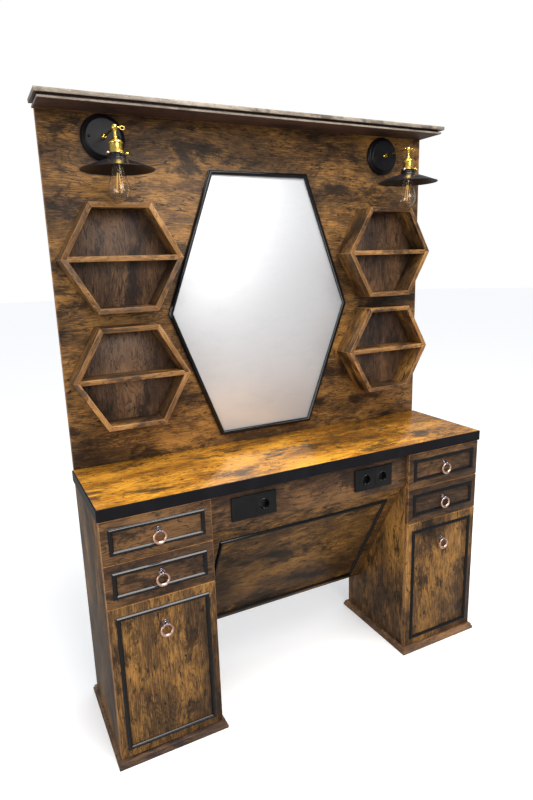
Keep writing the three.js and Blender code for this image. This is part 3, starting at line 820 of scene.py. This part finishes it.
def add_well(name, x, z, face):
    place = facing(x, -face, z)
    r, deep = WELL_RADIUS, WELL_DEPTH
    skin = 1.2 * MM
    liner = [(r, 0.2 * MM), (r - 0.4 * MM, 0.9 * MM), (r - skin, 0.4 * MM), (r - skin, -deep + 2 * MM),
             (0, -deep + 2 * MM), (0, -deep + 0.4 * MM), (r, -deep + 0.4 * MM)]
    shell = turned(f"{name}_well", liner, place, ("socket_insert",), ROOT, "socket_plastic")
    # the lip's light grey is a painted highlight round the well's mouth
    lip = arc((r - 0.4 * MM, 0.4 * MM), 0.4 * MM, 0, 324, 9)
    turned(f"{name}_lip", lip, place, ("socket_rim",), ROOT, "socket_plastic")
    pins = []
    for where in (-1, 1):
        pin = facing(x + where * 9.5 * MM, -face + deep, z)
        pins.append(turned("cutter", in_mm([(0, -5), (2.4, -5), (2.4, 6), (0, 6)]), pin, *PLASTIC,
                           segments=20))
    carve(shell, pins)
    for part, up in (("foot", -1), ("head", 1)):
        clip = [(-2.8 * MM, 0), (2.8 * MM, 0), (2.2 * MM, 13 * MM), (-2.2 * MM, 13 * MM)]
        seat = axes((1, 0, 0), (0, -1, 0), (0, 0, up),
                    (x, -face + deep - 2.2 * MM, z + up * (r - skin - 2.4 * MM)))
        prism(f"{name}_clip_{part}", clip, 0, 1.2 * MM, seat, ("steel",), ROOT, "chrome", bevel=0.35 * MM)


def slope_points(node):
    """The foot and the top of the knee panel's sloping face, as (y, z) pairs."""
    points = {(round(v.co.y, 5), round(v.co.z, 5)) for v in frame["nodes"][node].data.vertices}
    foot = min(points, key=lambda point: point[1])
    return Vector(foot), Vector(min(points))


def add_knee_panel():
    lo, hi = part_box("knee_panel")
    foot, top = slope_points("knee_panel")
    up = (top - foot).normalized()
    place = axes((1, 0, 0), (0, up.x, up.y), (0, -up.y, up.x), (0, foot.x, foot.y))
    length = (top - foot).length
    outline = rectangle(lo.x, hi.x, 0, length)
    prism("knee_panel_board", outline, -18 * MM, 0, place, WOOD, *FIXED_WOOD, ("knee_panel",))

    moulding = frame["nodes"]["knee_panel_moulding"].data.vertices
    back = place.inverted()
    local = [back @ v.co for v in moulding]
    (u0, u1), (v0, v1), (w0, w1) = [(min(values), max(values)) for values in zip(*local)]
    section = bead_section(15 * MM, w1 - w0)
    strip("knee_panel_moulding_strip", rectangle(u0, u1, v0, v1), section, place, w0, ("moulding",), ROOT,
          "black_moulding", ("knee_panel_moulding",))


# ---- mirror ----

def mirror_corners():
    lo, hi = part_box("mirror_frame")
    end = MIRROR_END_HALF
    return [(-end, lo.z), (end, lo.z), (hi.x, MIRROR_MIDDLE), (end, hi.z), (-end, hi.z),
            (lo.x, MIRROR_MIDDLE)]


def add_mirror():
    lo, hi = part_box("mirror_frame")
    corners = mirror_corners()
    depth = hi.y - lo.y
    wide = MIRROR_FRAME_WIDTH
    lip = 6 * MM
    bead = [(d, h) for d, h in bead_section(wide, depth, 0.62) if d < wide - 0.5 * MM]
    section = bead[:-1] + [(wide - 0.4 * MM, depth * 0.55), (wide - 0.4 * MM, lip), (wide - 5 * MM, lip),
                           (wide - 5 * MM, 0)]
    strip("mirror_frame_strip", corners, section, UPRIGHT, -hi.y, ("moulding",), ROOT, "black_moulding",
          ("mirror_frame",))
    glass_lo, glass_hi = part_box("mirror_glass")
    outline = drawn_in(corners, wide - 4.7 * MM)
    prism("mirror_pane", outline, -glass_hi.y, -glass_lo.y, UPRIGHT,
          ("mirror", "mirror", "mirror"), ROOT, "mirror_glass", ("mirror_glass",), bevel=0.5 * MM)


# ---- hexagonal shelves ----

def add_hex_shelf(node):
    """Six mitred boards, a backing and a cross shelf."""
    lo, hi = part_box(node)
    x = (lo.x + hi.x) / 2
    z = (lo.z + hi.z) / 2
    radius = (hi.x - lo.x) / 2
    place = facing(x, 0, z)
    near, far = -hi.y, -lo.y
    outer = [Vector(p) for p in arc((0, 0), radius, 0, 300, 5)]
    inner = drawn_in(outer, HEX_BOARD)
    gap = 0.1 * MM
    names = ("high_right", "top", "high_left", "low_left", "bottom", "low_right")
    for i, part in enumerate(names):
        j = (i + 1) % 6
        along = (outer[j] - outer[i]).normalized()
        across = Vector((-along.y, along.x))
        middle = (outer[i] + outer[j]) / 2
        half_out = (outer[j] - outer[i]).length / 2 - gap
        half_in = (inner[j] - inner[i]).length / 2 - gap
        run = axes((along.x, 0, along.y), (across.x, 0, across.y), (0, -1, 0),
                   (x + middle.x, 0, z + middle.y))
        outline = [(-half_out, 0), (half_out, 0), (half_in, HEX_BOARD), (-half_in, HEX_BOARD)]
        prism(f"{node}_{part}", outline, near, far, run, SHELF, *FIXED_WOOD, (node,))
    inside = drawn_in(outer, HEX_BOARD + gap)
    prism(f"{node}_backing", inside, near, near + HEX_BACKING, place, ("rustic_deep",), *FIXED_WOOD,
          (node,), grain="v", bevel=0.3 * MM)
    reach = inner[0].x - 0.3 * MM
    half = HEX_BOARD / 2
    slant = half / math.tan(math.radians(60))
    outline = [(-reach + slant, -half), (reach - slant, -half), (reach, 0), (reach - slant, half),
               (-reach + slant, half), (-reach, 0)]
    prism(f"{node}_cross", outline, near + HEX_BACKING, far - 1 * MM, place, SHELF, *FIXED_WOOD, (node,))


# ---- lamps ----

def pivot_of(joint_name):
    joint = next(j for j in frame["joints"] if j["name"] == joint_name)
    return Vector(joint["pos_m"])


def add_lamp(label):
    pivot = pivot_of(f"{label}_lamp_tilt")
    add_lamp_bracket(label, pivot)
    head = f"{label}_lamp_head"
    place = axes((1, 0, 0), (0, 1, 0), (0, 0, 1), pivot)
    add_lamp_holder(label, head, place, pivot)
    add_lamp_shade(label, head, place)
    add_bulb(label, head, place)


def add_lamp_bracket(label, pivot):
    node = f"{label}_lamp_bracket"
    lo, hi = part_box(node)
    big = (hi.x - lo.x) / 2
    wall = hi.y
    out = facing(pivot.x, wall, pivot.z)
    deep = 22 * MM
    profile = [(0, 0), (big, 0), (big, 4 * MM), (big - 1 * MM, 6 * MM), (big - 3 * MM, 7.5 * MM),
               (big - 3.6 * MM, 9 * MM), (big - 4.6 * MM, 11.5 * MM), (big - 7 * MM, 12.6 * MM),
               (big - 8.6 * MM, 13.4 * MM), (big - 9.4 * MM, 16 * MM), (big - 11 * MM, 19 * MM),
               (big - 14 * MM, 21 * MM), (big - 17 * MM, deep - 0.4 * MM), (big - 19 * MM, deep - 0.8 * MM),
               (0, deep - 0.6 * MM)]
    turned(f"{node}_plate", profile, out, ("lamp_plate",), ROOT, "lamp_black", (node,), segments=72)
    for part, dx in (("left", -46 * MM), ("right", 46 * MM)):
        spot = facing(pivot.x + dx, wall - deep + 0.9 * MM, pivot.z)
        dome = arc((0, 0), 4.2 * MM, 0, 90, 6)
        turned(f"{node}_screw_{part}", [(0, 0)] + dome[:-1] + [(0, 4.2 * MM)], spot, ("moulding",), ROOT,
               "lamp_black", segments=24)
    nut = facing(pivot.x, wall - deep + 0.8 * MM, pivot.z)
    knob = in_mm([(0, 0), (8, 0), (8.6, 2.5), (7.2, 5.5), (5.5, 7.5), (6.8, 10), (6.4, 12.5), (4.6, 14),
                  (0, 14)])
    turned(f"{node}_nut", knob, nut, *BRASS)
    ear = 9.8 * MM
    start = wall - deep + 0.8 * MM - 13 * MM
    tube(f"{node}_arm", [(pivot.x, start, pivot.z), (pivot.x, (start + pivot.y) / 2, pivot.z),
                         (pivot.x, pivot.y + ear + 4 * MM, pivot.z)],
         3.6 * MM, LEVEL, *BRASS, sides=24)
    eye = facing(pivot.x, pivot.y + ear + 5.5 * MM, pivot.z)
    boss = in_mm([(0, 0), (4.6, 0), (6.2, 2), (6.6, 4), (5.2, 5.2), (0, 5.2)])
    turned(f"{node}_boss", boss, eye, *BRASS)
    cap = in_mm([(0, 4.8), (7.5, 4.8), (7.0, 5.7), (5.8, 7.0), (4.2, 8.1), (2.0, 8.8), (0, 9.0)])
    for part, way in (("left", -1), ("right", 1)):
        outline = rectangle(4 * MM, ear + 0.3 * MM, -3.6 * MM, 3.6 * MM)
        cheek = axes((0, 1, 0), (0, 0, way), (way, 0, 0), (pivot.x, pivot.y, pivot.z))
        prism(f"{node}_cheek_{part}", outline, 5 * MM, 7 * MM, cheek, *BRASS, bevel=0.6 * MM)
        turned(f"{node}_cap_{part}", cap, cheek, *BRASS, segments=40)
    add_wing_screw(node, pivot)


def add_wing_screw(node, pivot):
    """The screw that clamps the knuckle, with an open wing to turn it by."""
    x = pivot.x + 8 * MM
    stem = crosswise(x, pivot.y, pivot.z)
    profile = in_mm([(0, 0), (3.6, 0), (3.6, 1.2), (2.2, 2), (2, 6), (2.8, 7), (2.8, 9), (0, 9.4)])
    turned(f"{node}_wing_stem", profile, stem, *BRASS, segments=24)
    loop = [(x + 14.5 * MM + 6.5 * MM * math.cos(a), pivot.y, pivot.z - 1 * MM + 5 * MM * math.sin(a))
            for a in [2 * math.pi * i / 32 for i in range(32)]]
    tube(f"{node}_wing", loop, 1.3 * MM, LEVEL, *BRASS, closed=True, sides=10)


def add_lamp_holder(label, head, place, pivot):
    """Knuckle, neck, domed cap and socket in brass, with the black gallery ring and its thumb screws."""
    node = f"{label}_lamp_holder"
    across = crosswise(*pivot)
    ball = arc((0, 0), 9 * MM, -29, 29, 10)
    knuckle = [(0, ball[0][1])] + ball + [(0, ball[-1][1])]
    turned(f"{node}_knuckle", knuckle, across, ("brass",), head, "brass", (node,))
    body = [(0, -7), (4.4, -7.4), (5.2, -9.4), (6.4, -10.2), (6.6, -12), (5.6, -13.4), (5.8, -25),
            (6.6, -28), (9.5, -30.8), (14, -33.6), (18, -36.4), (20.4, -39), (21.6, -40.6), (21.7, -43),
            (21.0, -45), (19.8, -46), (19.8, -68), (20.3, -69), (20.3, -70.6), (15.9, -70.6), (15.9, -60),
            (0, -60)]
    turned(f"{node}_body", in_mm(body), place, ("brass",), head, "brass", segments=64)
    ring = [(17.4, -70.9), (24.0, -70.9), (25.4, -71.6), (25.6, -72.6), (24.6, -73.3), (24.6, -73.8),
            (25.6, -74.4), (25.4, -75.4), (24.4, -75.8), (17.4, -75.8)]
    turned(f"{node}_gallery", in_mm(ring), place, ("lamp_black",), head, "lamp_black", segments=64)
    for k, (angle, paint) in enumerate(((205, "copper"), (285, "brass"), (335, "brass"))):
        turn = math.radians(angle)
        out = Vector((math.cos(turn), math.sin(turn), 0))
        side = Vector((-math.sin(turn), math.cos(turn), 0))
        seat = axes(side, (0, 0, 1), -out, pivot + out * 25 * MM + Vector((0, 0, -73.5 * MM)))
        seat = seat @ Matrix.Scale(-1, 4, (0, 0, 1))
        knob = in_mm([(0, 0), (1.7, 0), (1.7, 3.2), (4.4, 3.9), (5.2, 5.8), (4.8, 8.6), (3.2, 10.4),
                      (0, 10.9)])
        turned(f"{node}_thumb_{k}", knob, seat, (paint,), head, "brass", segments=20)


def add_lamp_shade(label, head, place):
    """A shallow spun shade with a raised throat and a rolled rim."""
    node = f"{label}_lamp_shade"
    lo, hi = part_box(node)
    rim = (hi.x - lo.x) / 2
    skin = 1.2 * MM
    outer = [(17.4, -76.1), (24, -76.1), (26, -77), (26.8, -79), (26.9, -83), (27.6, -86), (30, -88.6)]
    outer = in_mm(outer)
    flare = [(30 + (rim / MM - 32) * t, -88.6 - 27.6 * t ** 1.12) for t in [i / 12 for i in range(1, 13)]]
    outer += in_mm(flare)
    roll = arc((rim - 1.4 * MM, -117.2 * MM), 1.4 * MM, 100, -170, 10)
    inner = [(r - 0.3 * MM, h - skin) for r, h in reversed(outer)]
    profile = outer + roll + inner[1:]
    turned(f"{node}_spun", profile, place, ("lamp_black", "lamp_inside"), head, "lamp_black", (node,),
           segments=96, inner_from=len(outer) + 6)


def add_bulb(label, head, place):
    """A hollow pear-shaped bulb with a threaded cap, a glass stem and four long filaments."""
    node = f"{label}_lamp_bulb"
    pear = [(13.2, -84), (14.0, -92), (16.8, -110), (20.8, -127), (25.6, -143), (29.4, -157), (31.4, -170),
            (30.9, -180), (27.5, -190.5), (20.6, -199.2), (12, -205.4), (5, -208.2), (2.2, -209.4),
            (0, -209.9)]
    shell = 0.9
    inner = [(max(r - shell, 0), h + shell * (0.2 if r > 14 else 1.0)) for r, h in reversed(pear)]
    inner[0] = (0, -208.6)
    profile = in_mm(reversed(pear + inner))
    turned(f"{node}_glass", profile, place, ("glass",), head, "bulb_glass", (node,), segments=64)
    thread = [(0, -62)]
    for i in range(6):
        z = -63 - i * 3.2
        thread += [(13.6, z), (14.6, z - 0.8), (14.6, z - 1.4), (13.6, z - 2.2)]
    thread += [(13.9, -83.4), (0, -83.4)]
    turned(f"{node}_cap", in_mm(thread), place, ("brass",), head, "brass", segments=40)
    stem = [(0, -84), (6.5, -84), (5.6, -90), (3.4, -98), (2.8, -118), (3.6, -122), (2.6, -125), (0, -125.6)]
    turned(f"{node}_stem", in_mm(stem), place, ("glass",), head, "bulb_glass", segments=24)
    base = place.to_translation()
    for k in range(4):
        turn = math.radians(45 + 90 * k)
        top = Vector((3.4 * math.cos(turn), 3.4 * math.sin(turn), -126)) * MM
        foot = Vector((10 * math.cos(turn), 10 * math.sin(turn), -182)) * MM
        path = [base + top.lerp(foot, t / 8) for t in range(9)]
        tube(f"{node}_filament_{k}", path, 0.45 * MM, LEVEL, ("filament",), head, "bulb_glass", sides=10)


# ---- camera, light and floor ----

def add_camera():
    """Stands at the front left, a little above the mirror's middle, and looks slightly down."""
    data = bpy.data.cameras.new("camera")
    data.sensor_width = CAMERA_SENSOR
    data.lens = CAMERA_LENS
    camera = bpy.data.objects.new("camera", data)
    azimuth, pitch, roll = [math.radians(a) for a in (CAMERA_AZIMUTH, CAMERA_PITCH, CAMERA_ROLL)]
    turn = Matrix.Rotation(-azimuth, 4, "Z") @ Matrix.Rotation(math.pi / 2 - pitch, 4, "X")
    camera.matrix_world = Matrix.Translation(CAMERA_PLACE) @ turn @ Matrix.Rotation(roll, 4, "Z")
    link(camera)
    bpy.context.scene.camera = camera


def add_floor():
    """A pale floor. What it throws back up is weakened, so that it doesn't flood the undersides and gloss."""
    n = Nodes("floor")
    grain = n.noise(n.coords(), 6.0, 4.0, 0.6)
    pale = n.add("ShaderNodeBsdfDiffuse", {"Color": n.mix(grain, srgb(246, 246, 246), srgb(250, 250, 249))})
    dull = n.add("ShaderNodeBsdfDiffuse", {"Color": n.mix(grain, srgb(150, 148, 146), srgb(160, 158, 156))})
    rays = n.add("ShaderNodeLightPath")
    lift = n.add("ShaderNodeEmission", {"Strength": 0.1})
    bright = n.add("ShaderNodeAddShader", {0: pale.outputs[0], 1: lift.outputs[0]})
    blend = n.add("ShaderNodeMixShader", {0: rays.outputs["Is Camera Ray"], 1: dull.outputs[0],
                                          2: bright.outputs[0]})
    n.add("ShaderNodeOutputMaterial", {"Surface": blend.outputs[0]})
    bm = bmesh.new()
    bmesh.ops.create_circle(bm, cap_ends=True, radius=FLOOR_RADIUS, segments=64)
    mesh = bpy.data.meshes.new("floor")
    bm.to_mesh(mesh)
    bm.free()
    mesh.materials.append(n.owner)
    floor = bpy.data.objects.new("floor", mesh)
    floor.location.z = CAD_BOX[0].z - 0.5 * MM
    link(floor)


def add_area(name, location, target, size, power, colour):
    data = bpy.data.lights.new(name, "AREA")
    data.shape = "RECTANGLE"
    data.size, data.size_y = size
    data.energy = power
    data.color = colour
    light = bpy.data.objects.new(name, data)
    aim = Vector(target) - Vector(location)
    light.matrix_world = Matrix.Translation(location) @ aim.to_track_quat("-Z", "Y").to_matrix().to_4x4()
    link(light)


def add_world():
    """A white studio: plain white to the camera, and for light a soft dome, brighter overhead, that shows
    more weakly in glossy surfaces."""
    n = Nodes("studio", "worlds")
    rays = n.add("ShaderNodeLightPath").outputs
    place = n.add("ShaderNodeTexCoord").outputs["Generated"]
    height = n.add("ShaderNodeSeparateXYZ", {0: place}).outputs["Z"]
    climb = {"Value": height, "From Min": 0.0, "From Max": 0.9, "To Min": DOME_LOW, "To Max": DOME_HIGH}
    dome = n.add("ShaderNodeMapRange", climb).outputs[0]
    weaken = {"Value": rays["Is Glossy Ray"], "To Min": 1.0, "To Max": DOME_IN_GLOSS}
    fade = n.add("ShaderNodeMapRange", weaken).outputs[0]
    light = {"Color": (0.95, 0.97, 1.0, 1), "Strength": n.math("MULTIPLY", dome, fade)}
    lit = n.add("ShaderNodeBackground", light).outputs[0]
    seen = n.add("ShaderNodeBackground", {"Color": (1, 1, 1, 1)}).outputs[0]
    blend = n.add("ShaderNodeMixShader", {"Fac": rays["Is Camera Ray"], 1: lit, 2: seen})
    n.add("ShaderNodeOutputWorld", {"Surface": blend.outputs[0]})
    bpy.context.scene.world = n.owner


def add_lights():
    for softbox in SOFTBOXES:
        add_area(*softbox)


# ---- assembly ----

add_camera()
add_world()
add_lights()
add_floor()
bpy.context.scene.view_settings.view_transform = "Standard"

add_back()
add_worktop()
add_apron()
for unit in SOCKET_WELLS:
    add_socket_unit(unit)
add_knee_panel()
add_mirror()
for label, side in SIDES:
    add_pedestal(label)
    for level in ("lower_drawer", "upper_drawer"):
        add_front(f"{label}_{level}", "u")
        add_drawer(f"{label}_{level}")
    add_front(f"{label}_door", "v")
    add_door_hinges(label, side)
    for row in ("lower", "upper"):
        add_hex_shelf(f"{label}_{row}_hex_shelf")
    add_lamp(label)
